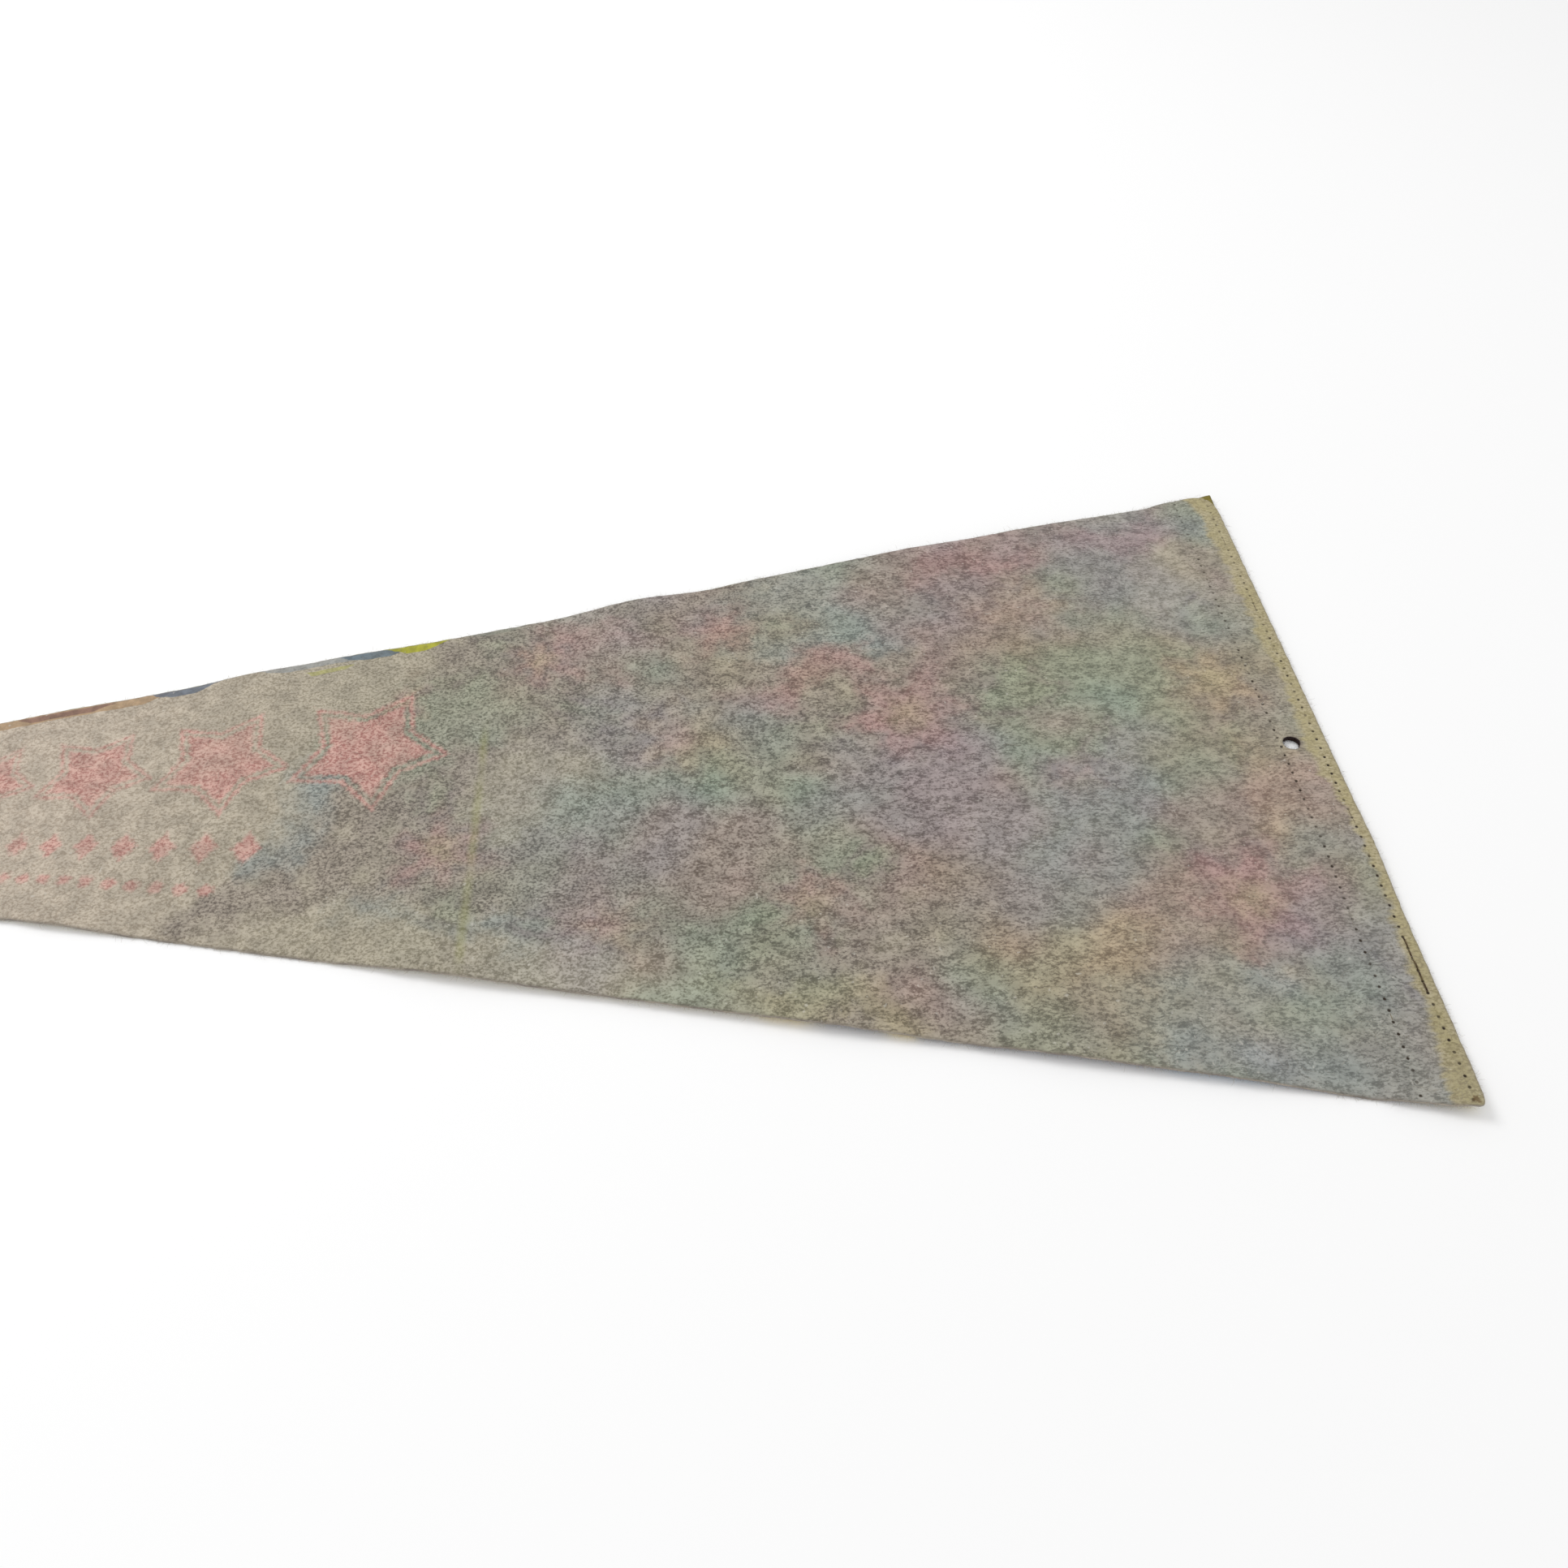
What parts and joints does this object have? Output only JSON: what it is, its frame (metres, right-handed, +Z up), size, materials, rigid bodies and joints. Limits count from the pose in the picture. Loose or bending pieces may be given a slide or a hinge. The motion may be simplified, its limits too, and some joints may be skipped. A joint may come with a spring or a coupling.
{
  "type": "pennant flag",
  "caption": "Long triangular felt pennant lying on its face, with a header strip sewn along the wide end and a punched hanging hole.",
  "frame": {"origin": "under the middle of the pennant, on the surface that it rests on", "axes": "+X along the pennant towards its wide end, +Y across it, +Z up out of the back face"},
  "size_m": [0.6626, 0.2909, 0.0049],
  "materials": {
    "printed_felt": "matt",
    "header_felt": "matt",
    "thread": "matt"
  },
  "bodies": {
    "root": {"felt_pennant": "printed_felt", "header_strip": "header_felt"}
  },
  "joints": []
}
